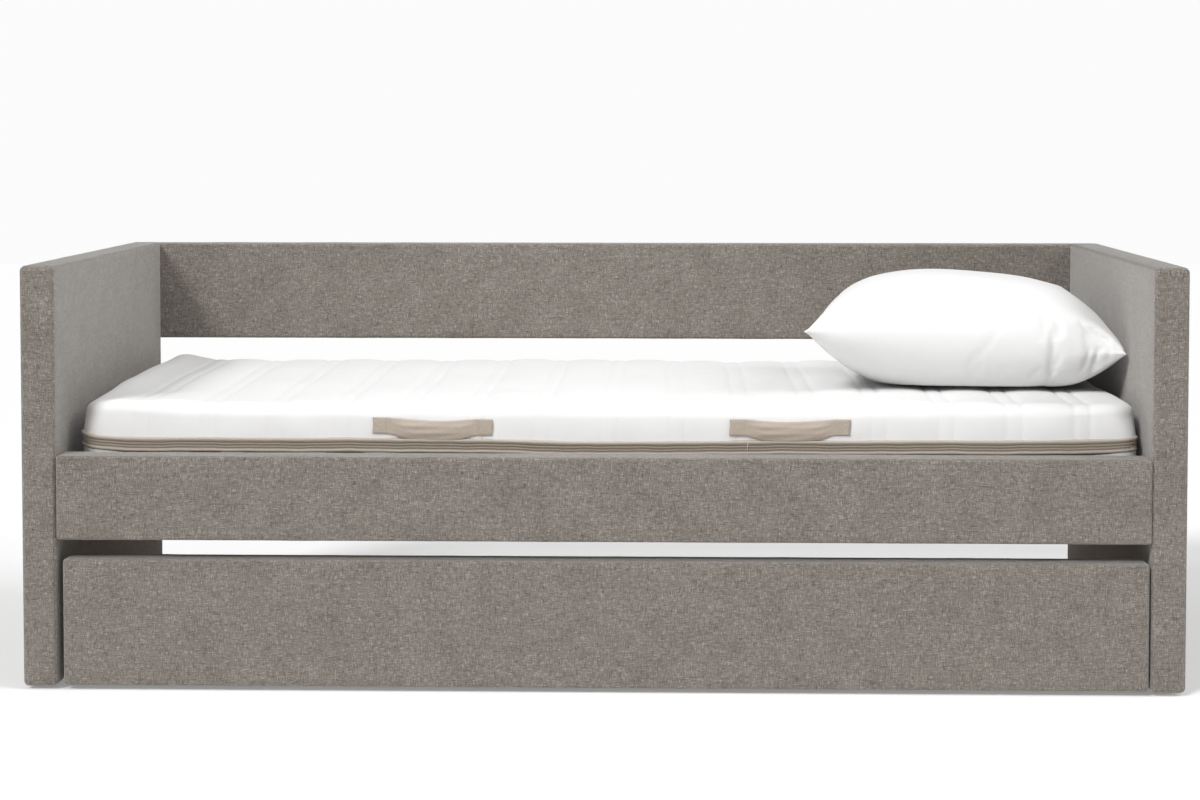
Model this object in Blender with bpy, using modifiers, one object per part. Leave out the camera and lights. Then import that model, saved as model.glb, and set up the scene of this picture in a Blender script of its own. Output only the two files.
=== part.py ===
"""Upholstered daybed with a mattress, a pillow and a trundle frame that rolls out on casters.

Metres, +Z up, +X to the right along the bed, -Y to the front. The origin is the middle of the
footprint, on the floor.
"""

from math import pi

import bmesh
import bpy
from mathutils import Vector

# ---------------------------------------------------------------- driving dimensions
INNER_WIDTH = 2.05        # between the side panels, for a 2.0 m mattress
BOARD = 0.065             # thickness of every upholstered board
DEPTH = 1.04
HEIGHT = 0.80
TOUCH = 0.0003            # gap between pieces that touch

PAD = 0.006               # foam and fabric round a board's core
EDGE_RADIUS = 0.008       # rounding of an upholstered edge
CORE_RAISED = 0.001       # the core's underside above its cover's
FLOOR_GAP = 0.005         # side panels above the floor
BACK_TOP = 0.797
BACK_BOTTOM = 0.5825
RAIL_TOP = 0.443          # front and rear rails
RAIL_BOTTOM = 0.284

TRUNDLE_CENTRE = 0.004    # the trundle stands a little to the right
TRUNDLE_HALF_WIDTH = 1.017
TRUNDLE_TOP = 0.2477
TRUNDLE_BOTTOM = 0.008

LEDGER_TOP = 0.342
LEDGER_HEIGHT = 0.040
LEDGER_DEPTH = 0.030
LEDGER_HALF_LENGTH = 0.970
SLAT_COUNT = 12
SLAT_PITCH = 0.169
SLAT_WIDTH = 0.090
SLAT_THICKNESS = 0.018
SLAT_END_GAP = 0.0015
SLAT_CHAMFER = 0.003

MATTRESS_LEFT = -0.9925
MATTRESS_RIGHT = 1.0120
MATTRESS_FRONT = -0.4425
MATTRESS_REAR = 0.4475
MATTRESS_TOP = 0.540
MATTRESS_CORNER = 0.050   # rounding of the upright corners
MATTRESS_RIM = 0.032      # rounding of the top and bottom edges
BAND_BOTTOM = 0.4385
BAND_TOP = 0.4680
BAND_THICKNESS = 0.0030

HANDLE_LENGTH = 0.228
HANDLE_WIDTH = 0.0315
HANDLE_BOTTOM = 0.4755
HANDLE_DROP = 0.006       # how much lower its middle hangs than its ends
HANDLE_FLAT_FROM = 0.62   # the share of its half length where it starts to lie flat
HANDLE_THICKNESS = 0.0030
HANDLE_CENTRES = {"left": -0.3215, "right": 0.3560}

PILLOW_CENTRE = Vector((0.7045, 0.010, 0.650))
PILLOW_HALF = Vector((0.310, 0.290, 0.108))
PILLOW_RISE_TO_LEFT = 0.016
PILLOW_SEAM = 0.006       # half the thickness of its rim
PILLOW_PULL = 0.10        # how far the filling draws its sides in between the corners
PILLOW_FULLER = Vector((1.02, 1.02, 1.12))  # its cage is larger than the smoothed surface

BRACKET_LEG = 0.035
BRACKET_GAUGE = 0.003
CORNER_BRACKET_HEIGHT = 0.060
CORNER_BRACKET_BOTTOM = 0.288
BACK_BRACKET_WIDTH = 0.040
SCREW_REACH = 0.021       # screws from the bracket's corner
SCREW_HEAD_RADIUS = 0.005
SCREW_HEAD_HEIGHT = 0.0025

GLIDE_RADIUS = 0.016
GLIDE_INSET = 0.060       # glides from the side panels' ends

RUNNER_THICKNESS = 0.018  # boards of the trundle's frame
RUNNER_BOTTOM = 0.012
RUNNER_TOP = 0.0677
RUNNER_REAR = 0.438
RUNNER_INSET = 0.008      # side rails inside the front's two ends
DECK_TOP = 0.080
DECK_SLAT_WIDTH = 0.070
BATTEN_WIDTH = 0.060
BATTEN_THICKNESS = 0.007
BATTEN_INSET = 0.010      # the batten's ends inside the last slats' edges

WHEEL_RADIUS = 0.025
WHEEL_WIDTH = 0.018
AXLE_RADIUS = 0.004
AXLE_HOLE_RADIUS = 0.0043
AXLE_HEAD_RADIUS = 0.0065
AXLE_HEAD_HEIGHT = 0.002
HUB_RADIUS = 0.009
WHEEL_RECESS_RADIUS = 0.0195
WHEEL_RECESS = 0.004
CHEEK_GAUGE = 0.0025
CHEEK_CLEARANCE = 0.0010
FORK_LENGTH = 0.046
FORK_TOP = 0.0590
FORK_BOTTOM = 0.0130
CASTER_Y = {"front": -0.380, "rear": 0.360}

HALF_INNER = INNER_WIDTH / 2
HALF_WIDTH = HALF_INNER + BOARD
FRONT = -DEPTH / 2
REAR = DEPTH / 2
BACK_FACE = REAR - BOARD + TOUCH          # front face of the boards across the back
RAIL_FACE = FRONT + BOARD                 # rear face of the boards across the front
SLAT_BOTTOM = LEDGER_TOP + TOUCH
MATTRESS_BOTTOM = SLAT_BOTTOM + SLAT_THICKNESS + TOUCH

# ---------------------------------------------------------------- colours: r, g, b, roughness, metallic
FINISHES = {
    "upholstery_fabric": (0.235, 0.205, 0.180, 0.95, 0.0),
    "board_wood": (0.500, 0.370, 0.240, 0.80, 0.0),
    "slat_wood": (0.640, 0.480, 0.300, 0.60, 0.0),
    "mattress_fabric": (0.860, 0.860, 0.850, 0.90, 0.0),
    "band_fabric": (0.310, 0.260, 0.215, 0.85, 0.0),
    "handle_webbing": (0.440, 0.375, 0.310, 0.85, 0.0),
    "pillow_fabric": (0.900, 0.900, 0.890, 0.90, 0.0),
    "bracket_steel": (0.560, 0.560, 0.550, 0.40, 1.0),
    "axle_steel": (0.600, 0.600, 0.600, 0.30, 1.0),
    "wheel_plastic": (0.050, 0.050, 0.050, 0.50, 0.0),
    "glide_plastic": (0.080, 0.075, 0.070, 0.60, 0.0),
}


# ---------------------------------------------------------------- scene, collections, materials
def start_empty():
    """Remove what the scene holds and make the two collections."""
    for old in list(bpy.data.objects):
        bpy.data.objects.remove(old, do_unlink=True)
    made = []
    for name in ("trundle_bed", "cutters"):
        collection = bpy.data.collections.new(name)
        bpy.context.scene.collection.children.link(collection)
        made.append(collection)
    return made


PARTS, CUTTERS = start_empty()


def material(slot):
    """The Principled material for one finish."""
    if slot in bpy.data.materials:
        return bpy.data.materials[slot]
    red, green, blue, roughness, metallic = FINISHES[slot]
    made = bpy.data.materials.new(slot)
    made.use_nodes = True
    shader = made.node_tree.nodes["Principled BSDF"]
    shader.inputs["Base Color"].default_value = (red, green, blue, 1.0)
    shader.inputs["Roughness"].default_value = roughness
    shader.inputs["Metallic"].default_value = metallic
    made.diffuse_color = (red, green, blue, 1.0)
    return made


def new_object(name, bm, slot, at=(0, 0, 0), parent=None, smooth=False):
    """Turn a bmesh into a named object in the bed's collection."""
    mesh = bpy.data.meshes.new(name)
    bm.normal_update()
    bm.to_mesh(mesh)
    bm.free()
    return place(name, mesh, slot, at, parent, smooth)


def place(name, mesh, slot, at=(0, 0, 0), parent=None, smooth=False):
    """Make an object of a mesh, which other objects may share."""
    made = bpy.data.objects.new(name, mesh)
    made.location = at
    made.parent = parent
    PARTS.objects.link(made)
    if not mesh.materials:
        mesh.materials.append(material(slot))
    if smooth:
        mesh.shade_smooth()
        mesh.set_sharp_from_angle(angle=pi / 6)
    return made


def empty(name, at):
    """A bare frame for a group of pieces."""
    made = bpy.data.objects.new(name, None)
    made.location = at
    PARTS.objects.link(made)
    return made


def helper(name, bm, at=(0, 0, 0)):
    """A shape that only cuts or joins another one."""
    mesh = bpy.data.meshes.new(name)
    bm.to_mesh(mesh)
    bm.free()
    made = bpy.data.objects.new(name, mesh)
    made.location = at
    made.hide_render = True
    made.display_type = "WIRE"
    CUTTERS.objects.link(made)
    return made


# ---------------------------------------------------------------- shapes
def box_mesh(size):
    """A box of the given size, centred on its own origin."""
    bm = bmesh.new()
    bmesh.ops.create_cube(bm, size=1.0)
    bmesh.ops.scale(bm, vec=size, verts=bm.verts)
    return bm


def bevel(target, width, segments=1, angle=pi / 6):
    """Round or chamfer the sharp edges."""
    made = target.modifiers.new("Bevel", "BEVEL")
    made.width = width
    made.segments = segments
    made.limit_method = "ANGLE"
    made.angle_limit = angle
    return made


def span(low, high):
    """Size and centre of the box between two corners."""
    low, high = Vector(low), Vector(high)
    return high - low, (high + low) / 2


def board(name, low, high, slot, chamfer=0.0015, parent=None):
    """A plain timber board between two corners."""
    size, centre = span(low, high)
    offset = parent.location if parent else Vector()
    made = new_object(name, box_mesh(size), slot, centre - offset, parent)
    bevel(made, chamfer)
    return made


def upholstered_board(name, low, high, parent=None):
    """A board core in a padded cover that is open on its underside."""
    size, centre = span(low, high)
    offset = parent.location if parent else Vector()
    bm = box_mesh(size)
    underside = [face for face in bm.faces if face.normal.z < -0.5]
    bmesh.ops.delete(bm, geom=underside, context="FACES_ONLY")
    cover = new_object(f"{name}_cover", bm, "upholstery_fabric", centre - offset, parent, smooth=True)
    bevel(cover, EDGE_RADIUS, segments=3)
    shell = cover.modifiers.new("Padding", "SOLIDIFY")
    shell.thickness = PAD
    shell.offset = -1.0
    shell.use_even_offset = True
    inset = PAD + TOUCH
    core_low = Vector(low) + Vector((inset, inset, CORE_RAISED))
    core_high = Vector(high) - Vector((inset, inset, inset))
    board(f"{name}_core", core_low, core_high, "board_wood", EDGE_RADIUS - PAD, parent)


def rounded_slab(width, depth, height, corner, rim):
    """A slab with rounded upright corners and rounded top and bottom edges."""
    bm = box_mesh((width, depth, height))
    upright = [e for e in bm.edges if abs(e.verts[0].co.z - e.verts[1].co.z) > height / 2]
    bmesh.ops.bevel(bm, geom=upright, offset=corner, segments=5, profile=0.5, affect="EDGES")
    if rim:
        flat = [f for f in bm.faces if abs(f.normal.z) > 0.9]
        edges = list({edge for face in flat for edge in face.edges})
        bmesh.ops.bevel(bm, geom=edges, offset=rim, segments=3, profile=0.5, affect="EDGES")
    return bm


def join_mesh(target, addition):
    """Unite a helper shape with the target."""
    made = target.modifiers.new("Join", "BOOLEAN")
    made.operation = "UNION"
    made.solver = "EXACT"
    made.object = addition


def cut_mesh(target, cutter):
    """Cut a helper shape out of the target."""
    made = target.modifiers.new("Cut", "BOOLEAN")
    made.operation = "DIFFERENCE"
    made.solver = "EXACT"
    made.object = cutter


def cylinder(radius, length, sides, axis="Z"):
    """A closed cylinder centred on its own origin."""
    bm = bmesh.new()
    bmesh.ops.create_cone(bm, cap_ends=True, segments=sides, radius1=radius, radius2=radius, depth=length)
    if axis == "X":
        turn = Vector((0, 0, 1)).rotation_difference(Vector((1, 0, 0))).to_matrix()
        bmesh.ops.rotate(bm, matrix=turn, verts=bm.verts)
    if axis == "Y":
        turn = Vector((0, 0, 1)).rotation_difference(Vector((0, 1, 0))).to_matrix()
        bmesh.ops.rotate(bm, matrix=turn, verts=bm.verts)
    return bm


def turned(name, profile, slot, steps, at, parent):
    """A closed outline of (radius, height) points turned round an axis along X."""
    bm = bmesh.new()
    points = [bm.verts.new((radius, 0, height)) for radius, height in profile]
    for first, second in zip(points, points[1:] + points[:1]):
        bm.edges.new((first, second))
    made = new_object(name, bm, slot, at, parent, smooth=True)
    screw = made.modifiers.new("Turn", "SCREW")
    screw.steps = steps
    screw.render_steps = steps
    screw.use_merge_vertices = True
    screw.merge_threshold = 0.00001
    made.rotation_euler = (0, pi / 2, 0)
    return made


# ---------------------------------------------------------------- main bed
def side_panels():
    """The two end panels, from the floor glides to full height."""
    for side, sign in (("left", -1), ("right", 1)):
        inner, outer = sign * HALF_INNER, sign * HALF_WIDTH
        low = (min(inner, outer), FRONT, FLOOR_GAP)
        high = (max(inner, outer), REAR - BOARD, HEIGHT)
        upholstered_board(f"{side}_side_panel", low, high)


def back_panel():
    """The panel along the back, behind the side panels' rear edges."""
    low = (-HALF_WIDTH, BACK_FACE, BACK_BOTTOM)
    upholstered_board("back_panel", low, (HALF_WIDTH, REAR, BACK_TOP))


def long_rails():
    """The front rail between the side panels and the rear rail behind them."""
    half = HALF_INNER - TOUCH
    upholstered_board("front_rail", (-half, FRONT, RAIL_BOTTOM), (half, RAIL_FACE, RAIL_TOP))
    low = (-HALF_WIDTH, BACK_FACE, RAIL_BOTTOM)
    upholstered_board("rear_rail", low, (HALF_WIDTH, REAR, RAIL_TOP))


def ledgers():
    """The two cleats that carry the slats."""
    bottom = LEDGER_TOP - LEDGER_HEIGHT
    for name, face, sign in (("front", RAIL_FACE + TOUCH, 1), ("rear", BACK_FACE - TOUCH, -1)):
        far = face + sign * LEDGER_DEPTH
        low = (-LEDGER_HALF_LENGTH, min(face, far), bottom)
        board(f"{name}_slat_ledger", low, (LEDGER_HALF_LENGTH, max(face, far), LEDGER_TOP), "slat_wood")


def slats():
    """The main bed's slats, all of one mesh."""
    front, rear = RAIL_FACE + SLAT_END_GAP, BACK_FACE - SLAT_END_GAP
    middle = Vector((0, (front + rear) / 2, SLAT_BOTTOM + SLAT_THICKNESS / 2))
    first = -(SLAT_COUNT - 1) / 2 * SLAT_PITCH
    mesh = None
    for number in range(SLAT_COUNT):
        at = middle + Vector((first + number * SLAT_PITCH, 0, 0))
        name = f"bed_slat_{number + 1:02d}"
        if mesh is None:
            made = new_object(name, box_mesh((SLAT_WIDTH, rear - front, SLAT_THICKNESS)), "slat_wood", at)
            mesh = made.data
        else:
            made = place(name, mesh, "slat_wood", at)
        bevel(made, SLAT_CHAMFER)


def angle_bracket(name, width, at, rotation):
    """A steel angle with two screw heads inside each leg.

    Its outer corner is on its own Z axis, and its legs run along +X and +Y.
    """
    bm = bmesh.new()
    bmesh.ops.create_cube(bm, size=1.0)
    bmesh.ops.scale(bm, vec=(BRACKET_LEG, BRACKET_LEG, width), verts=bm.verts)
    bmesh.ops.translate(bm, vec=(BRACKET_LEG / 2, BRACKET_LEG / 2, 0), verts=bm.verts)
    spare = [f for f in bm.faces if abs(f.normal.z) > 0.5 or f.normal.x > 0.5 or f.normal.y > 0.5]
    bmesh.ops.delete(bm, geom=spare, context="FACES")
    made = new_object(name, bm, "bracket_steel", at)
    made.rotation_euler = rotation
    sheet = made.modifiers.new("Gauge", "SOLIDIFY")
    sheet.thickness = BRACKET_GAUGE
    sheet.offset = -1.0
    sheet.use_even_offset = True
    depth = BRACKET_GAUGE + SCREW_HEAD_HEIGHT / 2 - TOUCH
    for number, height in enumerate((-width / 4, width / 4)):
        for axis, spot in (("X", (depth, SCREW_REACH, height)), ("Y", (SCREW_REACH, depth, height))):
            head = helper(f"{name}_head_{axis}{number}",
                          cylinder(SCREW_HEAD_RADIUS, SCREW_HEAD_HEIGHT, 10, axis), spot)
            head.parent = made
            join_mesh(made, head)


def brackets():
    """Angles at the four inner corners, and under the back panel's two ends."""
    height = CORNER_BRACKET_BOTTOM + CORNER_BRACKET_HEIGHT / 2
    side = HALF_INNER - TOUCH
    corners = (
        ("front_left", (-side, RAIL_FACE + TOUCH), 0),
        ("front_right", (side, RAIL_FACE + TOUCH), pi / 2),
        ("rear_right", (side, BACK_FACE - 2 * TOUCH), pi),
        ("rear_left", (-side, BACK_FACE - 2 * TOUCH), -pi / 2),
    )
    for where, (x, y), turn in corners:
        angle_bracket(f"{where}_corner_bracket", CORNER_BRACKET_HEIGHT, (x, y, height), (0, 0, turn))
    for where, sign in (("left", -1), ("right", 1)):
        x = sign * (HALF_INNER + BOARD / 2)
        at = (x, REAR - BOARD + TOUCH, BACK_BOTTOM - TOUCH)
        angle_bracket(f"{where}_back_panel_bracket", BACK_BRACKET_WIDTH, at, (-pi / 2, 0, pi / 2))


def glides():
    """Plastic floor glides under the side panels' ends."""
    thickness = FLOOR_GAP - TOUCH
    for side, sign in (("left", -1), ("right", 1)):
        for end, y in (("front", FRONT + GLIDE_INSET), ("rear", REAR - BOARD - GLIDE_INSET)):
            at = (sign * (HALF_INNER + BOARD / 2), y, thickness / 2)
            made = new_object(f"{end}_{side}_glide", cylinder(GLIDE_RADIUS, thickness, 24), "glide_plastic", at)
            bevel(made, 0.001)


# ---------------------------------------------------------------- mattress and pillow
def mattress():
    """The mattress with its zip band and its webbing handles."""
    low = (MATTRESS_LEFT, MATTRESS_FRONT, MATTRESS_BOTTOM)
    size, centre = span(low, (MATTRESS_RIGHT, MATTRESS_REAR, MATTRESS_TOP))
    slab = rounded_slab(size.x, size.y, size.z, MATTRESS_CORNER, MATTRESS_RIM)
    new_object("mattress", slab, "mattress_fabric", centre, smooth=True)
    zip_band(size, centre)
    for name, x in HANDLE_CENTRES.items():
        for end, y, sign in (("front", MATTRESS_FRONT - TOUCH, -1), ("rear", MATTRESS_REAR + TOUCH, 1)):
            handle(f"mattress_handle_{end}_{name}", x, y, sign)


def zip_band(size, centre):
    """A flat band round the mattress's four sides."""
    width, depth = size.x + 2 * TOUCH, size.y + 2 * TOUCH
    bm = rounded_slab(width, depth, BAND_TOP - BAND_BOTTOM, MATTRESS_CORNER + TOUCH, 0)
    caps = [face for face in bm.faces if abs(face.normal.z) > 0.9]
    bmesh.ops.delete(bm, geom=caps, context="FACES_ONLY")
    at = (centre.x, centre.y, (BAND_TOP + BAND_BOTTOM) / 2)
    band = new_object("mattress_zip_band", bm, "band_fabric", at, smooth=True)
    wall = band.modifiers.new("Band", "SOLIDIFY")
    wall.thickness = BAND_THICKNESS
    wall.offset = 1.0
    wall.use_even_offset = True


def handle(name, x, y, sign):
    """A flat strap whose middle hangs lower than its stitched ends."""
    bm = box_mesh((HANDLE_LENGTH, HANDLE_THICKNESS, HANDLE_WIDTH))
    long_edges = [e for e in bm.edges if abs(e.verts[0].co.x - e.verts[1].co.x) > HANDLE_LENGTH / 2]
    bmesh.ops.subdivide_edges(bm, edges=long_edges, cuts=9, use_grid_fill=True)
    for vert in bm.verts:
        along = min(abs(vert.co.x) / (HANDLE_LENGTH / 2) / HANDLE_FLAT_FROM, 1.0)
        vert.co.z -= HANDLE_DROP * (1 - along * along)
    at = (x, y + sign * HANDLE_THICKNESS / 2, HANDLE_BOTTOM + HANDLE_WIDTH / 2)
    new_object(name, bm, "handle_webbing", at)


def pillow():
    """A soft pillow: two bulging sheets that meet in a thin rim."""
    bm = box_mesh((2, 2, 2))
    bmesh.ops.subdivide_edges(bm, edges=[e for e in bm.edges if abs(e.verts[0].co.z - e.verts[1].co.z) < 1],
                              cuts=4, use_grid_fill=True)
    for vert in bm.verts:
        across, along = vert.co.x, vert.co.y
        crown = (1 - across ** 4) * (1 - along ** 4)
        drawn = (1 - across ** 2) * abs(along) + (1 - along ** 2) * abs(across)
        pull = 1 - PILLOW_PULL * drawn
        top = vert.co.z > 0
        bulge = PILLOW_SEAM + crown * (PILLOW_HALF.z * PILLOW_FULLER.z - PILLOW_SEAM)
        height = (bulge if top else -bulge) - PILLOW_RISE_TO_LEFT * across * (1 - crown)
        vert.co.z = max(height, MATTRESS_TOP + 2 * TOUCH - PILLOW_CENTRE.z)
        vert.co.x = across * PILLOW_HALF.x * PILLOW_FULLER.x * pull
        vert.co.y = along * PILLOW_HALF.y * PILLOW_FULLER.y * pull
    made = new_object("pillow", bm, "pillow_fabric", PILLOW_CENTRE, smooth=True)
    soft = made.modifiers.new("Soft", "SUBSURF")
    soft.levels = 1
    soft.render_levels = 1


# ---------------------------------------------------------------- trundle
def trundle_frame(trundle):
    """The upholstered front with the low timber frame and the deck behind it."""
    left, right = TRUNDLE_CENTRE - TRUNDLE_HALF_WIDTH, TRUNDLE_CENTRE + TRUNDLE_HALF_WIDTH
    low = (left, FRONT, TRUNDLE_BOTTOM)
    upholstered_board("trundle_front", low, (right, RAIL_FACE, TRUNDLE_TOP), trundle)
    start = RAIL_FACE + TOUCH
    inner_left, inner_right = runner_faces()
    for side, low_x in (("left", inner_left - RUNNER_THICKNESS), ("right", inner_right)):
        low = (low_x, start, RUNNER_BOTTOM)
        high = (low_x + RUNNER_THICKNESS, RUNNER_REAR, RUNNER_TOP)
        board(f"trundle_{side}_rail", low, high, "slat_wood", parent=trundle)
    for end, low_y in (("front", start), ("rear", RUNNER_REAR - RUNNER_THICKNESS)):
        low = (inner_left + TOUCH, low_y, RUNNER_BOTTOM)
        high = (inner_right - TOUCH, low_y + RUNNER_THICKNESS, RUNNER_TOP)
        board(f"trundle_{end}_cross_rail", low, high, "slat_wood", parent=trundle)


def runner_faces():
    """The inner faces of the trundle's two side rails."""
    half = TRUNDLE_HALF_WIDTH - RUNNER_INSET - RUNNER_THICKNESS
    return TRUNDLE_CENTRE - half, TRUNDLE_CENTRE + half


def trundle_deck(trundle):
    """Slats fixed on a thin batten under their middles, as one loose deck."""
    front, rear = RAIL_FACE + 2 * TOUCH, RUNNER_REAR
    bottom = RUNNER_TOP + TOUCH
    first = -(SLAT_COUNT - 1) / 2 * SLAT_PITCH
    slat = (DECK_SLAT_WIDTH, rear - front, DECK_TOP - bottom)
    slat_z = (DECK_TOP + bottom) / 2
    length = (SLAT_COUNT - 1) * SLAT_PITCH + DECK_SLAT_WIDTH - 2 * BATTEN_INSET
    batten = (length, BATTEN_WIDTH, BATTEN_THICKNESS)
    middle = Vector((TRUNDLE_CENTRE, (front + rear) / 2, bottom + TOUCH - BATTEN_THICKNESS / 2))
    deck = new_object("trundle_slat_deck", box_mesh(batten), "slat_wood", middle - trundle.location, trundle)
    for number in range(SLAT_COUNT):
        at = (TRUNDLE_CENTRE + first + number * SLAT_PITCH, middle.y, slat_z)
        join_mesh(deck, helper(f"deck_slat_{number + 1:02d}", box_mesh(slat), at))


def fork(name, at, parent):
    """A folded caster fork with a web on top and an axle hole through both cheeks."""
    inside = WHEEL_WIDTH + 2 * CHEEK_CLEARANCE
    height = FORK_TOP - FORK_BOTTOM
    bm = box_mesh((inside + 2 * CHEEK_GAUGE, FORK_LENGTH, height))
    spare = [face for face in bm.faces if abs(face.normal.y) > 0.5 or face.normal.z < -0.5]
    bmesh.ops.delete(bm, geom=spare, context="FACES")
    for vert in bm.verts:
        if vert.co.z < 0:
            vert.co.y *= 0.5
    centre = (FORK_TOP + FORK_BOTTOM) / 2 - WHEEL_RADIUS
    bmesh.ops.translate(bm, vec=(0, 0, centre), verts=bm.verts)
    made = new_object(name, bm, "bracket_steel", at, parent)
    sheet = made.modifiers.new("Gauge", "SOLIDIFY")
    sheet.thickness = CHEEK_GAUGE
    sheet.offset = -1.0
    sheet.use_even_offset = True
    hole = helper(f"{name}_axle_hole", cylinder(AXLE_HOLE_RADIUS, inside * 2, 24, "X"))
    hole.parent = made
    cut_mesh(made, hole)


def axle(name, at, parent, outward):
    """A plain pin with a head on the side away from the rail."""
    half = WHEEL_WIDTH / 2 + CHEEK_CLEARANCE + CHEEK_GAUGE
    end = half + TOUCH + AXLE_HEAD_HEIGHT
    profile = [(0, end), (AXLE_HEAD_RADIUS, end), (AXLE_HEAD_RADIUS, half + TOUCH),
               (AXLE_RADIUS, half + TOUCH), (AXLE_RADIUS, -half), (0, -half)]
    bm = bmesh.new()
    points = [bm.verts.new((radius, 0, -outward * height)) for radius, height in profile]
    for first, second in zip(points, points[1:]):
        bm.edges.new((first, second) if outward < 0 else (second, first))
    made = new_object(name, bm, "axle_steel", at, parent, smooth=True)
    screw = made.modifiers.new("Turn", "SCREW")
    screw.steps = 24
    screw.render_steps = 24
    screw.use_merge_vertices = True
    screw.merge_threshold = 0.00001
    made.rotation_euler = (0, pi / 2, 0)


def wheel(name, at, parent):
    """A moulded wheel with a recess in each face round its hub."""
    half = WHEEL_WIDTH / 2
    floor, rim = half - WHEEL_RECESS, half - 0.001
    upper = [(AXLE_HOLE_RADIUS, half), (HUB_RADIUS, half), (HUB_RADIUS, floor), (WHEEL_RECESS_RADIUS, floor),
             (WHEEL_RECESS_RADIUS, rim), (WHEEL_RADIUS - 0.002, rim), (WHEEL_RADIUS, rim - 0.002)]
    lower = [(radius, -height) for radius, height in reversed(upper)]
    turned(name, upper + lower, "wheel_plastic", 24, at, parent)


def casters(trundle):
    """Four rigid casters inside the side rails, each with its own spin axis."""
    inner_left, inner_right = runner_faces()
    reach = WHEEL_WIDTH / 2 + CHEEK_CLEARANCE + CHEEK_GAUGE + TOUCH
    for side, x, outward in (("left", inner_left + reach, -1), ("right", inner_right - reach, 1)):
        for end, y in CASTER_Y.items():
            spin = empty(f"{end}_{side}_wheel_axis", Vector((x, y, WHEEL_RADIUS)) - trundle.location)
            spin.parent = trundle
            name = f"{end}_{side}_caster"
            fork(f"{name}_bracket", (0, 0, 0), spin)
            axle(f"{name}_axle", (0, 0, 0), spin, outward)
            wheel(f"{name}_wheel", (0, 0, 0), spin)


def build():
    """The whole bed."""
    side_panels()
    back_panel()
    long_rails()
    ledgers()
    slats()
    brackets()
    glides()
    mattress()
    pillow()
    trundle = empty("trundle", Vector((TRUNDLE_CENTRE, FRONT, 0)))
    trundle_frame(trundle)
    trundle_deck(trundle)
    casters(trundle)


build()
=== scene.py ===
"""Upholstered daybed with a rolling trundle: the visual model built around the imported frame."""

import math

import bpy
import numpy as np
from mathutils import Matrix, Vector


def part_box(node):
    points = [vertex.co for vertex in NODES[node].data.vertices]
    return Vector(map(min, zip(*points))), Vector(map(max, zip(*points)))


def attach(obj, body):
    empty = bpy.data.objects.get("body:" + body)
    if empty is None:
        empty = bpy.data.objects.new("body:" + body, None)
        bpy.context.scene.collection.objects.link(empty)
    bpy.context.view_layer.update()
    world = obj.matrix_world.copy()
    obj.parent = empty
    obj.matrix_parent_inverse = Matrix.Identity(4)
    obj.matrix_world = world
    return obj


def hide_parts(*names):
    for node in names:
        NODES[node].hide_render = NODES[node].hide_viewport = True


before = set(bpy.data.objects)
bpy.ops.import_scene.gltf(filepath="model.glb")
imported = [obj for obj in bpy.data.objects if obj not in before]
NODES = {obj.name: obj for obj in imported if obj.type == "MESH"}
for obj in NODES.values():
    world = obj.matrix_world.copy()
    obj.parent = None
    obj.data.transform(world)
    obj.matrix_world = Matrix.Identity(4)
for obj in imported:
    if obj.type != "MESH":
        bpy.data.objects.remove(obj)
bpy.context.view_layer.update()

X, Y, Z = 0, 1, 2
TINY = 1e-9

# ---------------------------------------- sizes, in metres
EDGE = 0.0060             # rounding of the upholstered boards
SIDE_EDGE = 0.0105        # and of the two softer side panels
SEAM_DEPTH = 0.0010
CELL = 0.026              # lattice step on the boards
UNEVEN = 0.00030          # how far a board's faces stray from flat
FACE_SHIFT = 0.37         # between the UVs of faces that look along different axes

QUILT_PERIOD = 0.1276     # one broad and one narrow quilted channel
QUILT_PHASE = 0.1410      # the middle of one narrow channel
QUILT_HALF_PAIR = 0.0150  # half the narrow channel
QUILT_DEPTH = 0.0046      # of the seams in the top
SIDE_QUILT_DEPTH = 0.0026
UNDER_QUILT_DEPTH = 0.0030
MATTRESS_CORNER = 0.060   # the stretch at each upright corner with a finer lattice
CORNER_AT_BAND = 0.030    # rounding of the upright corners at the zip band
CORNER_AT_TOP = 0.058     # and near the top
MATTRESS_RIM = 0.034      # rounding of the top and bottom edges
END_RIM = 0.022           # and at the two ends
LEFT_CREEP = 0.0035       # how much nearer the left panel lies than the plain solid
RIDGE = 0.0105            # rise along the left end
DROOP = 0.0060            # fall at the right end, under the pillow
BAND_TOP = 0.4700         # height of the zip band's upper edge
TACK_X = 0.276            # where the zip tape is tacked closed

HANDLE_WIDTH = 0.0302     # of the webbing where it is sewn flat
HANDLE_SPREAD = 0.0072    # how much wider its loose middle hangs
HANDLE_END = 0.030        # length of each sewn end
HANDLE_SAG = 0.0050
HANDLE_FRONT = 0.0022     # how far its front stands out where it is sewn flat
HANDLE_BACK = 0.0008      # how far its back is sunk into the cover
STRAP_ROWS = 17           # points across the webbing
HANDLE_FOLDS = (          # each fold's place and width, as shares of the webbing's width, and its height
    (0.28, 0.10, 0.0011), (0.62, 0.08, 0.0007))

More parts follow.
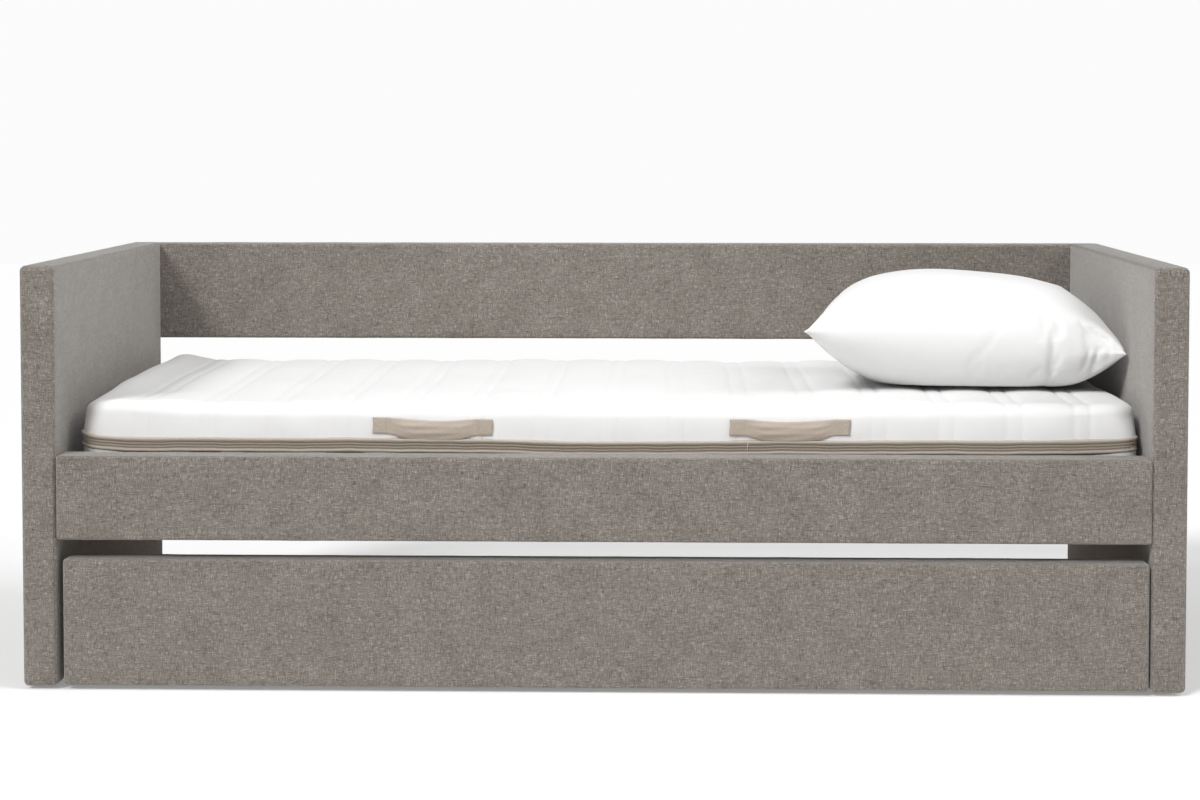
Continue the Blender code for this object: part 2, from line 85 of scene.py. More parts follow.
PILLOW_MIDDLE = (0.7045, 0.010)
PILLOW_HALF = (0.3185, 0.292)
PILLOW_SEAM_HEIGHT = 0.6400
PILLOW_SEWN = 0.970       # the end seams, as a share of the half length
PILLOW_FLOOR = 0.5406
PILLOW_RISE = 0.1215      # from the seam to the top
PILLOW_DROP = 0.137       # from the seam down, before the mattress flattens it
PILLOW_TILT = 0.021       # fall of the seam from the middle to the right end
PILLOW_WAIST = 0.040      # how far its front and back pull in between the ends
PILLOW_DRAWN = 0.020      # how far the fill draws the ends in, half way across
PILLOW_SKEW = 0.085       # how far the back left corner is pulled to the right
PILLOW_HEM = 0.0007       # half the thickness of the seam
PILLOW_CASE = (0.62, 0.60)
PILLOW_CELLS = (108, 72)
CREASE_FRAMES = 20
CREASE_SPREAD = 70        # rounds of averaging that tell the folds from the slow movement
CREASE_GAIN = 1.7
CREASE_LIMIT = 0.007
WRINKLE_WIDTH = 0.0052
WRINKLE_FADE = 0.022
WRINKLES = (              # upper and lower end in X and Z, and depth, of each short dent
    (0.883, 0.641, 0.875, 0.573, 0.0022), (0.897, 0.617, 0.877, 0.557, 0.0020),
    (0.950, 0.631, 0.942, 0.587, 0.0030), (0.966, 0.629, 0.954, 0.561, 0.0050),
    (0.991, 0.627, 0.986, 0.601, 0.0018), (1.009, 0.627, 1.006, 0.605, 0.0018))


# ---------------------------------------- mesh helpers
def smooth(t):
    """Smooth step from 0 to 1."""
    t = np.clip(t, 0.0, 1.0)
    return t * t * (3 - 2 * t)


def waves(points, length, seed):
    """A smooth pseudo-random height from a sum of sine waves, about -1.5 to 1.5."""
    rng = np.random.default_rng(seed)
    total = np.zeros(len(points))
    count = 14
    for _ in range(count):
        direction = rng.normal(size=3)
        direction /= np.linalg.norm(direction)
        wave = 2 * math.pi / (length * rng.uniform(0.6, 1.7))
        total += np.sin(points @ direction * wave + rng.uniform(0, 2 * math.pi))
    return total / math.sqrt(count)


def lattice_box(nx, ny, nz):
    """The lattice points on a box's surface, its outward quads and each quad's normal axis."""
    keys, axes = [], []
    counts = (nx, ny, nz)
    for axis in range(3):
        u, v = (axis + 1) % 3, (axis + 2) % 3
        iu, iv = np.meshgrid(np.arange(counts[u]), np.arange(counts[v]), indexing="ij")
        iu, iv = iu.ravel(), iv.ravel()
        for side in (0, 1):
            corners = []
            for du, dv in ((0, 0), (1, 0), (1, 1), (0, 1)):
                index = np.zeros((len(iu), 3), int)
                index[:, axis] = side * counts[axis]
                index[:, u] = iu + du
                index[:, v] = iv + dv
                corners.append((index[:, 0] * (ny + 1) + index[:, 1]) * (nz + 1) + index[:, 2])
            quad = np.stack(corners, 1)
            keys.append(quad if side else quad[:, ::-1])
            axes.append(np.full(len(quad), axis))
    keys, axes = np.concatenate(keys), np.concatenate(axes)
    unique, quads = np.unique(keys, return_inverse=True)
    quads = quads.reshape(keys.shape)
    index = np.stack([unique // ((ny + 1) * (nz + 1)), unique // (nz + 1) % (ny + 1), unique % (nz + 1)], 1)
    return index, quads, axes


def steps(low, high, cell, edge):
    """Sample positions along one side, close together over the rounded edges."""
    near = edge - edge * np.tan(np.radians([45, 38, 26, 13, 0]))
    count = max(1, round((high - low - 2 * edge) / cell))
    middle = np.linspace(low + edge, high - edge, count + 1)[1:-1]
    return np.concatenate([low + near, middle, high - near[::-1]])


def build_mesh(name, points, faces, materials, uvs, slots=None):
    """A linked smooth mesh object, with its UV map named Weave in metres."""
    mesh = bpy.data.meshes.new(name)
    mesh.from_pydata(points.tolist(), [], [list(face) for face in faces])
    for made in materials:
        mesh.materials.append(made)
    if slots is not None:
        mesh.polygons.foreach_set("material_index", np.asarray(slots, np.int32))
    layer = mesh.uv_layers.new(name="Weave")
    layer.data.foreach_set("uv", np.asarray(uvs, np.float32).ravel())
    mesh.shade_smooth()
    mesh.update()
    made = bpy.data.objects.new(name, mesh)
    bpy.context.scene.collection.objects.link(made)
    return made


def box_uvs(points, quads, axes, shift=0.0):
    """UVs in metres: each face of the box takes the two axes along it."""
    pick = {0: (1, 2), 1: (0, 2), 2: (0, 1)}
    uvs = np.zeros((len(quads), 4, 2))
    for axis, (u, v) in pick.items():
        chosen = axes == axis
        corner = points[quads[chosen]]
        uvs[chosen] = corner[:, :, (u, v)] + shift + axis * FACE_SHIFT
    return uvs.reshape(-1, 2)


# ---------------------------------------- node helpers
SOCKETS = {"sheen_weight": "Sheen Weight", "sheen_roughness": "Sheen Roughness",
           "specular_ior_level": "Specular IOR Level", "metallic": "Metallic",
           "emission_strength": "Emission Strength"}


class Nodes:
    """Short calls for building one material's node tree."""

    def __init__(self, name):
        self.material = bpy.data.materials.new(name)
        self.material.use_nodes = True
        self.tree = self.material.node_tree
        self.shader = self.tree.nodes["Principled BSDF"]

    def link(self, source, target):
        self.tree.links.new(source, target)

    def fill(self, slot, value):
        """Give a socket a number or colour, or link an output to it."""
        if isinstance(value, (int, float)):
            slot.default_value = value
        elif isinstance(value, tuple):
            slot.default_value = (*value, 1.0)
        else:
            self.link(value, slot)

    def math(self, kind, first, second=0.0):
        node = self.tree.nodes.new("ShaderNodeMath")
        node.operation = kind
        for slot, value in zip(node.inputs, (first, second)):
            self.fill(slot, value)
        return node.outputs[0]

    def scaled(self, value, factor, added=0.0):
        """A value times a factor, plus a number."""
        product = self.math("MULTIPLY", value, factor)
        return self.math("ADD", product, added) if added else product

    def swing(self, value, amount):
        """A value from 0 to 1 as a change of up to half the amount either way."""
        return self.math("MULTIPLY", self.math("SUBTRACT", value, 0.5), amount)

    def uv(self):
        """The two Weave coordinates, in metres."""
        node = self.tree.nodes.new("ShaderNodeUVMap")
        node.uv_map = "Weave"
        split = self.tree.nodes.new("ShaderNodeSeparateXYZ")
        self.link(node.outputs["UV"], split.inputs[0])
        return split.outputs["X"], split.outputs["Y"]

    def place(self):
        """The object's own coordinates, whole and one by one."""
        node = self.tree.nodes.new("ShaderNodeTexCoord")
        split = self.tree.nodes.new("ShaderNodeSeparateXYZ")
        self.link(node.outputs["Object"], split.inputs[0])
        return node.outputs["Object"], split.outputs["X"], split.outputs["Y"], split.outputs["Z"]

    def step(self, value, low, high):
        """0 below low, 1 above high, smooth between them."""
        node = self.tree.nodes.new("ShaderNodeMapRange")
        node.interpolation_type = "SMOOTHSTEP"
        node.inputs["From Min"].default_value = low
        node.inputs["From Max"].default_value = high
        self.link(value, node.inputs["Value"])
        return node.outputs["Result"]

    def vector(self, x, y, z):
        node = self.tree.nodes.new("ShaderNodeCombineXYZ")
        for slot, value in zip(node.inputs, (x, y, z)):
            self.fill(slot, value)
        return node.outputs[0]

    def noise(self, vector, scale=1.0, detail=2.0, roughness=0.5):
        node = self.tree.nodes.new("ShaderNodeTexNoise")
        self.link(vector, node.inputs["Vector"])
        node.inputs["Scale"].default_value = scale
        node.inputs["Detail"].default_value = detail
        node.inputs["Roughness"].default_value = roughness
        return node.outputs["Fac"]

    def random(self, vector):
        node = self.tree.nodes.new("ShaderNodeTexWhiteNoise")
        node.noise_dimensions = "3D"
        self.link(vector, node.inputs["Vector"])
        return node.outputs["Value"]

    def ramp(self, factor, stops):
        node = self.tree.nodes.new("ShaderNodeValToRGB")
        elements = node.color_ramp.elements
        while len(elements) < len(stops):
            elements.new(0.5)
        for element, (position, colour) in zip(elements, stops):
            element.position = position
            element.color = (*colour, 1.0)
        self.link(factor, node.inputs["Fac"])
        return node.outputs["Color"]

    def mix(self, factor, first, second, kind="MIX"):
        node = self.tree.nodes.new("ShaderNodeMix")
        node.data_type = "RGBA"
        node.blend_type = kind
        for socket, value in (("Factor", factor), ("A", first), ("B", second)):
            self.fill(node.inputs[socket], value)
        return node.outputs["Result"]

    def bump(self, height, distance, strength, under=None):
        node = self.tree.nodes.new("ShaderNodeBump")
        node.inputs["Distance"].default_value = distance
        node.inputs["Strength"].default_value = strength
        self.link(height, node.inputs["Height"])
        if under is not None:
            self.link(under, node.inputs["Normal"])
        return node.outputs["Normal"]

    def finish(self, colour, roughness, normal=None, **fixed):
        """The finished material; the fixed values go on the shader's own sockets."""
        for socket, value in (("Base Color", colour), ("Roughness", roughness), ("Normal", normal)):
            if value is not None:
                self.fill(self.shader.inputs[socket], value)
        for name, value in fixed.items():
            self.shader.inputs[SOCKETS[name]].default_value = value
        return self.material


# ---------------------------------------- materials
THREAD_PITCH = 0.00095    # of the upholstery's weave, in metres
TONE_CHANGES = 160.0      # changes of tone per metre along one thread


def plain_weave(n, u, v, pitch):
    """Thread height and which thread is on top, for a plain weave of the given pitch."""
    across, along = n.math("DIVIDE", u, pitch), n.math("DIVIDE", v, pitch)
    warp = n.math("ABSOLUTE", n.math("SINE", n.math("MULTIPLY", across, math.pi)))
    weft = n.math("ABSOLUTE", n.math("SINE", n.math("MULTIPLY", along, math.pi)))
    column, row = n.math("FLOOR", across), n.math("FLOOR", along)
    over = n.math("PINGPONG", n.math("ADD", column, row), 1.0)
    height = n.math("ADD", n.math("MULTIPLY", over, n.math("SUBTRACT", warp, weft)), weft)
    return height, over, column, row


def thread_slubs(n, run, side, seed):
    """Pale slubs above 0 and dark ones below it, long along the thread and about one thread thick."""
    pale = n.noise(n.vector(n.scaled(run, 88.0), n.scaled(side, 690.0), seed), detail=1.0)
    dark = n.noise(n.vector(n.scaled(run, 104.0), n.scaled(side, 740.0), seed + 3.5), detail=1.0)
    return n.math("SUBTRACT", n.step(pale, 0.53, 0.72), n.step(dark, 0.53, 0.72))


def upholstery_fabric():
    """Taupe-grey melange flat weave: dark and pale slubs along both thread directions."""
    n = Nodes("upholstery_melange")
    u, v = n.uv()
    height, over, column, row = plain_weave(n, u, v, THREAD_PITCH)
    weft_slub = thread_slubs(n, u, v, 2.0)
    warp_slub = thread_slubs(n, v, u, 8.0)
    warp_tone = n.random(n.vector(column, n.math("FLOOR", n.scaled(v, TONE_CHANGES)), 1.0))
    weft_tone = n.random(n.vector(n.math("FLOOR", n.scaled(u, TONE_CHANGES)), row, 2.0))
    thread = n.math("ADD", n.math("MULTIPLY", over, n.math("SUBTRACT", warp_tone, weft_tone)), weft_tone)
    slub = n.math("ADD", weft_slub, warp_slub)
    cloud = n.noise(n.vector(u, v, 5.0), scale=13.0, detail=3.0)
    streak = n.noise(n.vector(n.scaled(u, 26.0), n.scaled(v, 150.0), 4.0))
    tone = n.math("ADD", n.scaled(slub, 0.35, 0.5), n.swing(thread, 0.30))
    tone = n.math("ADD", tone, n.swing(streak, 0.36))
    tone = n.math("ADD", tone, n.swing(cloud, 0.30))
    colour = n.ramp(tone, [(0.0, (0.104, 0.091, 0.079)), (0.36, (0.187, 0.166, 0.144)),
                           (0.62, (0.240, 0.215, 0.190)), (1.0, (0.420, 0.388, 0.352))])
    # Painted shade: the colour darkens where the threads dip low in the weave.
    valley_painted_shade = n.scaled(height, 0.16, 0.87)
    colour = n.mix(1.0, colour, n.vector(valley_painted_shade, valley_painted_shade, valley_painted_shade), "MULTIPLY")
    fine = n.bump(height, 0.00022, 0.7)
    normal = n.bump(slub, 0.0004, 0.5, fine)
    return n.finish(colour, 0.92, normal, sheen_weight=0.55, sheen_roughness=0.40, specular_ior_level=0.22)


def knit_white(name, base, shade, pitch, bump, sheen):
    """White fabric with a fine even texture and a faint tonal change."""
    n = Nodes(name)
    u, v = n.uv()
    height, _, _, _ = plain_weave(n, u, v, pitch)
    cloud = n.noise(n.vector(u, v, 2.0), scale=22.0, detail=3.0)
    fibre = n.noise(n.vector(u, v, 7.0), scale=900.0)
    colour = n.mix(n.math("ADD", n.scaled(cloud, 0.6), n.scaled(fibre, 0.4)), shade, base)
    normal = n.bump(height, bump, 0.6, n.bump(fibre, bump * 0.6, 0.5))
    return n.finish(colour, 0.88, normal, sheen_weight=sheen, sheen_roughness=0.4, specular_ior_level=0.25)


def ribbed_cloth(name, dark, light, rib):
    """Tape or webbing with ribs, and thread-to-thread tone."""
    n = Nodes(name)
    u, v = n.uv()
    height, _, column, row = plain_weave(n, n.scaled(u, 0.6), v, rib)
    tone = n.random(n.vector(column, row, 4.0))
    streak = n.noise(n.vector(n.scaled(u, 70.0), n.scaled(v, 700.0), 1.0), detail=3.0)
    colour = n.mix(n.math("ADD", n.scaled(tone, 0.35), n.scaled(streak, 0.65)), dark, light)
    normal = n.bump(height, 0.0003, 0.8, n.bump(streak, 0.0003, 0.4))
    return n.finish(colour, 0.85, normal, sheen_weight=0.2, sheen_roughness=0.4, specular_ior_level=0.25)


def planed_wood(name, axis, pale, dark):
    """Planed softwood with its grain along the given axis."""
    n = Nodes(name)
    _, x, y, z = n.place()
    along, side = {"X": (x, y), "Y": (y, x)}[axis]
    broad = n.vector(n.scaled(along, 1.6), n.scaled(side, 26.0), n.scaled(z, 26.0))
    warp = n.noise(broad, detail=3.0, roughness=0.55)
    rings = n.math("FRACT", n.scaled(n.math("ADD", warp, n.scaled(side, 1.7)), 9.0))
    rings = n.math("PINGPONG", n.scaled(rings, 2.0), 1.0)
    pores = n.noise(n.vector(n.scaled(along, 24.0), n.scaled(side, 900.0), n.scaled(z, 900.0)), detail=3.0)
    grain = n.math("ADD", n.scaled(rings, 0.7), n.scaled(pores, 0.45))
    colour = n.ramp(grain, [(0.10, pale), (0.95, dark)])
    normal = n.bump(pores, 0.0003, 0.35)
    rough = n.scaled(pores, 0.25, 0.45)
    return n.finish(colour, rough, normal, specular_ior_level=0.35)


def particle_board():
    """Pressed wood chips in a pale brown binder."""
    n = Nodes("board_core")
    place, _, _, _ = n.place()
    cells = n.tree.nodes.new("ShaderNodeTexVoronoi")
    cells.inputs["Scale"].default_value = 420.0
    n.link(place, cells.inputs["Vector"])
    fine = n.noise(place, scale=160.0, detail=4.0)
    chips = n.math("ADD", n.scaled(cells.outputs["Distance"], 0.6), n.scaled(fine, 0.5))
    colour = n.mix(chips, (0.539, 0.400, 0.251), (0.279, 0.186, 0.102))
    return n.finish(colour, 0.8, n.bump(fine, 0.0004, 0.5), specular_ior_level=0.25)


def plated_steel(name, brush_axis="Z"):
    """Zinc-plated steel: a fine brushed grain and cloudy reflections."""
    n = Nodes(name)
    place, x, y, z = n.place()
    fine, long = 1400.0, 6.0
    scales = {"X": (long, fine, fine), "Z": (fine, fine, long)}[brush_axis]
    grain = n.noise(n.vector(*(n.scaled(value, scale) for value, scale in zip((x, y, z), scales))))
    cloud = n.noise(place, scale=90.0, detail=3.0)
    colour = n.mix(cloud, (0.428, 0.432, 0.437), (0.614, 0.614, 0.595))
    rough = n.scaled(grain, 0.22, 0.24)
    return n.finish(colour, rough, n.bump(grain, 0.00008, 0.4), metallic=1.0)


def moulded_plastic(name, tone):
    """Dark moulded plastic with a fine spark-eroded grain."""
    n = Nodes(name)
    place, _, _, _ = n.place()
    grain = n.noise(place, scale=1600.0)
    cloud = n.noise(place, scale=60.0)
    colour = n.mix(cloud, (tone * 0.8,) * 3, (tone * 1.25, tone * 1.22, tone * 1.18))
    rough = n.scaled(cloud, 0.16, 0.42)
    return n.finish(colour, rough, n.bump(grain, 0.0001, 0.5), specular_ior_level=0.45)


UPHOLSTERY = upholstery_fabric()
TICKING = knit_white("mattress_ticking", (0.842, 0.842, 0.839), (0.800, 0.800, 0.796), 0.0016, 0.00022, 0.15)
COTTON = knit_white("pillow_cotton", (0.802, 0.802, 0.800), (0.763, 0.763, 0.761), 0.0005, 0.00005, 0.25)
TAPE = ribbed_cloth("zip_tape", (0.315, 0.268, 0.218), (0.455, 0.395, 0.328), 0.0007)
PIPING = ribbed_cloth("band_piping", (0.446, 0.386, 0.326), (0.614, 0.544, 0.470), 0.0006)
WEBBING = ribbed_cloth("handle_webbing", (0.419, 0.353, 0.293), (0.595, 0.516, 0.437), 0.0010)
THREAD = ribbed_cloth("stitch_thread", (0.577, 0.512, 0.428), (0.744, 0.679, 0.586), 0.0003)
# Dark tape for the groove under the piping and the tuck under the hem: its colour is painted shade.
ZIP_SHADOW = ribbed_cloth("zip_groove_painted_shade", (0.170, 0.137, 0.105), (0.250, 0.208, 0.164), 0.0007)
SLAT_Y = planed_wood("pine_across", "Y", (0.670, 0.521, 0.335), (0.465, 0.312, 0.163))
RAIL_X = planed_wood("pine_along", "X", (0.651, 0.502, 0.316), (0.446, 0.298, 0.153))
CORE = particle_board()
BRACKET_STEEL = plated_steel("bracket_zinc")
AXLE_STEEL = plated_steel("axle_bright", "X")
WHEEL_PLASTIC = moulded_plastic("wheel_black", 0.035)
GLIDE_PLASTIC = moulded_plastic("glide_black", 0.045)


# ---------------------------------------- upholstered boards
def upholstered_board(node, body, seams, shift, edge=EDGE):
    """A fabric-covered board: rounded edges, sewn seams, and a surface that is not quite flat."""
    low, high = (np.array(corner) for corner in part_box(f"{node}_cover"))
    grids = [steps(low[axis], high[axis], CELL, edge) for axis in range(3)]
    counts = [len(grid) - 1 for grid in grids]
    index, quads, axes = lattice_box(*counts)
    flat = np.stack([grids[axis][index[:, axis]] for axis in range(3)], 1)
    inner = np.clip(flat, low + edge, high - edge)
    outward = flat - inner
    length = np.linalg.norm(outward, axis=1, keepdims=True)
    normal = outward / length
    points = inner + normal * edge
    uvs = box_uvs(points, quads, axes, shift)
    for first, first_side, second, second_side in seams:
        on_first = index[:, first] == first_side * counts[first]
        on_second = index[:, second] == second_side * counts[second]
        on = on_first & on_second
        points[on] -= normal[on] * SEAM_DEPTH
    face = (length[:, 0] < edge * 1.001) & (np.abs(normal).max(1) > 0.999)
    soft = waves(points, 0.11, 11 + int(shift * 100)) * UNEVEN
    points[face] += normal[face] * soft[face, None]
    made = build_mesh(node, points, quads, [UPHOLSTERY], uvs)
    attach(made, body)
    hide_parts(f"{node}_cover")


def gusset_seams(thin, edges):
    """Seams along both sides of the strip round a board; thin is the axis of its thickness."""
    return [(thin, side, axis, end) for side in (0, 1) for axis, end in edges]


def boards():
    """All six upholstered boards, each with its own stretch of the fabric."""
    for shift, side in enumerate(("left", "right")):
        seams = gusset_seams(X, ((Y, 0), (Y, 1), (Z, 1)))
        upholstered_board(f"{side}_side_panel", "bed_frame", seams, shift * 1.3, SIDE_EDGE)
    upholstered_board("back_panel", "bed_frame", gusset_seams(Y, ((X, 0), (X, 1), (Z, 1))), 2.9)
    upholstered_board("front_rail", "bed_frame", [(Y, 1, Z, 1)], 4.3)
    upholstered_board("rear_rail", "bed_frame", [(Y, 0, Z, 1)], 5.7)
    upholstered_board("trundle_front", "trundle", [(Y, 1, Z, 1)], 7.1)


# ---------------------------------------- mattress
def quilt(x):
    """Height of the quilted top over its seams, from 0 in a seam to 1 on a broad channel."""
    place = (x - QUILT_PHASE + QUILT_PERIOD / 2) % QUILT_PERIOD - QUILT_PERIOD / 2
    inside = np.abs(place) < QUILT_HALF_PAIR
    narrow = 1 - (place / QUILT_HALF_PAIR) ** 2
    broad_half = QUILT_PERIOD / 2 - QUILT_HALF_PAIR
    broad = 1 - ((QUILT_PERIOD / 2 - np.abs(place)) / broad_half) ** 2
    return np.where(inside, 0.45 * np.clip(narrow, 0, 1) ** 0.6, np.clip(broad, 0, 1) ** 0.5)


def mattress_corner(z):
    """Rounding of the upright corners: tight at the zip band, soft near the top."""
    return CORNER_AT_BAND + (CORNER_AT_TOP - CORNER_AT_BAND) * smooth((z - BAND_TOP) / 0.055)


def mattress_rim(x, low, high):
    """Rounding of the top and bottom edges: tighter at the two ends."""
    return END_RIM + (MATTRESS_RIM - END_RIM) * smooth(np.minimum(x - low, high - x) / 0.25)


def mattress_columns(low, high):
    """Columns across the mattress: one on every seam, and more close to it."""
    by_seam, by_middle, clear = 0.004, 0.006, 0.013
    spots = []
    first = math.ceil((low - QUILT_PHASE) / QUILT_PERIOD) - 1
    last = math.floor((high - QUILT_PHASE) / QUILT_PERIOD) + 1
    for number in range(first, last + 1):
        middle = QUILT_PHASE + number * QUILT_PERIOD
        for side in (-1, 1):
            seam = middle + side * QUILT_HALF_PAIR
            spots += [seam - by_seam, seam, seam + by_seam]
        spots += [middle, middle - by_middle, middle + by_middle]
        broad = middle + QUILT_HALF_PAIR + clear, middle + QUILT_PERIOD - QUILT_HALF_PAIR - clear
        spots += list(np.linspace(*broad, 8))
    edge = np.linspace(0, MATTRESS_CORNER, 7)
    kept = MATTRESS_CORNER + 0.002
    spots = [spot for spot in spots if low + kept < spot < high - kept]
    return np.array(sorted(spots + list(low + edge) + list(high - edge)))


def slab_outline(x, y, low, high, corner):
    """Inset from the rounded outline and the outward direction in plan."""
    cx = np.clip(x, low[0] + corner, high[0] - corner)
    cy = np.clip(y, low[1] + corner, high[1] - corner)
    dx, dy = x - cx, y - cy
    reach = np.hypot(dx, dy)
    to_x = np.minimum(x - low[0], high[0] - x)
    to_y = np.minimum(y - low[1], high[1] - y)
    in_corner = (np.abs(dx) > TINY) & (np.abs(dy) > TINY)
    inset = np.where(in_corner, corner - reach, np.minimum(to_x, to_y))
    safe = np.where(reach > TINY, reach, 1.0)
    on_end = to_x < to_y
    side_x, side_y = np.sign(x - (low[0] + high[0]) / 2), np.sign(y - (low[1] + high[1]) / 2)
    nx = np.where(in_corner, dx / safe, np.where(on_end, side_x, 0.0))
    ny = np.where(in_corner, dy / safe, np.where(on_end, 0.0, side_y))
    return inset, nx, ny


def rounded_slab(xs, ys, zs):
    """The mattress slab on a lattice, with its corners and its top and bottom edges rounded."""
    low, high = np.array([xs[0], ys[0], zs[0]]), np.array([xs[-1], ys[-1], zs[-1]])
    index, quads, axes = lattice_box(len(xs) - 1, len(ys) - 1, len(zs) - 1)
    points = np.stack([xs[index[:, 0]], ys[index[:, 1]], zs[index[:, 2]]], 1)
    corner = mattress_corner(points[:, 2])[:, None]
    centre = np.clip(points[:, :2], low[:2] + corner, high[:2] - corner)
    away = points[:, :2] - centre
    span = np.abs(away).max(1)
    reach = np.maximum(np.hypot(away[:, 0], away[:, 1]), TINY)
    scale = np.where(span > TINY, span / reach, 1.0)
    points[:, :2] = centre + away * scale[:, None]
    inset, nx, ny = slab_outline(points[:, 0], points[:, 1], low, high, corner[:, 0])
    inset = np.maximum(inset, 0.0)
    rim = mattress_rim(points[:, 0], low[0], high[0])
    for top, sign in ((high[2], -1), (low[2], 1)):
        depth = (points[:, 2] - top) * sign
        near = (inset < rim) & (depth < rim)
        s, h = (rim - inset)[near], (rim - depth)[near]
        fit = np.maximum(s, h) / np.maximum(np.hypot(s, h), TINY)
        points[near, 0] += nx[near] * (s * fit - s)
        points[near, 1] += ny[near] * (s * fit - s)
        points[near, 2] = top + sign * (rim[near] - h * fit)
    return points, quads, axes


def mattress_box():
    """The mattress's box, drawn a little closer to the left panel than the plain solid."""
    low, high = (np.array(corner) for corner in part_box("mattress"))
    low[0] -= LEFT_CREEP
    return low, high


def mattress():
    """The quilted mattress cover, with its rounded borders and gently uneven top."""
    low, high = mattress_box()
    xs = mattress_columns(low[0], high[0])
    edge = np.linspace(0, MATTRESS_CORNER, 9)
    inner = np.linspace(low[1] + MATTRESS_CORNER, high[1] - MATTRESS_CORNER, 58)[1:-1]
    ys = np.concatenate([low[1] + edge, inner, high[1] - edge[::-1]])
    rim = np.linspace(0, MATTRESS_RIM, 9)
    middle = np.linspace(low[2] + MATTRESS_RIM, high[2] - MATTRESS_RIM, 14)[1:-1]
    zs = np.concatenate([low[2] + rim, middle, high[2] - rim[::-1]])
    points, quads, axes = rounded_slab(xs, ys, zs)
    uvs = box_uvs(points, quads, axes)
    x, y, z = points.T
    inset, nx, ny = slab_outline(x, y, low, high, mattress_corner(z))
    top = smooth((z - (high[2] - MATTRESS_RIM)) / MATTRESS_RIM)
    bottom = smooth((low[2] + MATTRESS_RIM - z) / MATTRESS_RIM)
    seam_line = 1 - quilt(x)
    lift = top_drift(x, y, low, high) - QUILT_DEPTH * seam_line
    border = (1 - top) * (1 - bottom) * (1 - smooth(inset / 0.03))
    belly = np.sin(np.clip((z - low[2]) / (high[2] - low[2]), 0, 1) * math.pi)
    dimple = -SIDE_QUILT_DEPTH * seam_line * np.abs(ny)
    dimple -= 0.0012 * (1 - belly) + 0.0006 * waves(points, 0.09, 8)
    points[:, 2] += top * lift + bottom * UNDER_QUILT_DEPTH * seam_line
    points[:, 0] += border * nx * dimple
    points[:, 1] += border * ny * dimple
    made = build_mesh("mattress_cover", points, quads, [TICKING], uvs)
    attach(made, "mattress")
    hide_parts("mattress")


def top_drift(x, y, low, high):
    """The top's slow unevenness: the left end is raised, except at the front, and the right end is low."""
    flat = np.stack([x, y, np.zeros_like(x)], 1)
    slow = waves(flat, 0.42, 5) * 0.0020 + waves(flat, 0.13, 6) * 0.0006 - 0.0022
    ridge = RIDGE * np.exp(-((x - (low[0] + 0.026)) / 0.040) ** 2)
    ridge *= 1 - 1.5 * smooth((-0.12 - y) / 0.32)
    droop = DROOP * np.exp(-((high[0] - x) / 0.060) ** 2) * smooth((y + 0.30) / 0.35)
    return slow + ridge - droop


def outline_path(low, high, corner, spacing):
    """Points, outward directions and running length round a rounded rectangle, from the front's middle."""
    left, right, front, back = low[0] + corner, high[0] - corner, low[1] + corner, high[1] - corner
    middle = (left + right) / 2
    stops = [(middle, front), (right, front), (right, back), (left, back), (left, front), (middle, front)]
    centres, degrees = [], []
    for number in range(5):
        start, end = np.array(stops[number]), np.array(stops[number + 1])
        facing = 90 * number - 90
        count = max(1, int(np.linalg.norm(end - start) / spacing))
        centres += [start + (end - start) * share for share in np.arange(count) / count]
        degrees += [facing] * count
        if number < 4:
            turn = range(facing, facing + 90, 10)
            centres += [end] * len(turn)
            degrees += turn
    angles = np.radians(degrees)
    normals = np.stack([np.cos(angles), np.sin(angles)], 1)
    spots = np.array(centres) + normals * corner
    length = np.concatenate([[0], np.cumsum(np.linalg.norm(np.diff(spots, axis=0), axis=1))])
    return spots, normals, length


def band_height(x, y, low, high):
    """Height of the band's top: it dips near the middle of the front and climbs into the corners."""
    dips = 0.0045 * np.exp(-(x / 0.20) ** 2) + 0.0018 * np.exp(-((x - 0.35) / 0.35) ** 2)
    climbs = 0.0120 * np.exp(-(x - low[0]) / 0.032) + 0.0078 * np.exp(-(high[0] - x) / 0.060)
    front = BAND_TOP - 0.0010 - dips + climbs + 0.0004 * np.sin(x * 23.0)
    back = BAND_TOP + 0.0012 * np.sin(x * 7.0)
    share = smooth((y - low[1]) / 0.30)
    return front * (1 - share) + back * share


BAND_PROFILE = (
    # height below the band's top and distance out from the cover, in millimetres, and the material slot; slot
    # 2 is a dark material of painted shade for the groove and the tuck under the hem
    (-0.6, -2.5, 0), (0.0, 1.0, 0), (1.3, 3.0, 0), (3.2, 4.0, 0), (5.2, 3.7, 0), (6.9, 2.5, 0),
    (7.6, 2.0, 2), (9.0, 1.9, 2), (9.6, 2.1, 1), (11.2, 2.7, 1), (12.8, 2.5, 1), (13.6, 1.7, 1),
    (14.6, 1.3, 1), (16.6, 1.4, 1), (17.0, 1.9, 1), (17.9, 1.9, 1), (18.3, 1.3, 1), (20.6, 1.2, 1),
    (21.6, 1.9, 0), (23.2, 2.9, 0), (25.2, 2.9, 0), (26.8, 2.0, 0), (27.4, 0.5, 2), (28.6, 0.2, 2),
    (29.4, -2.5, 2),
)


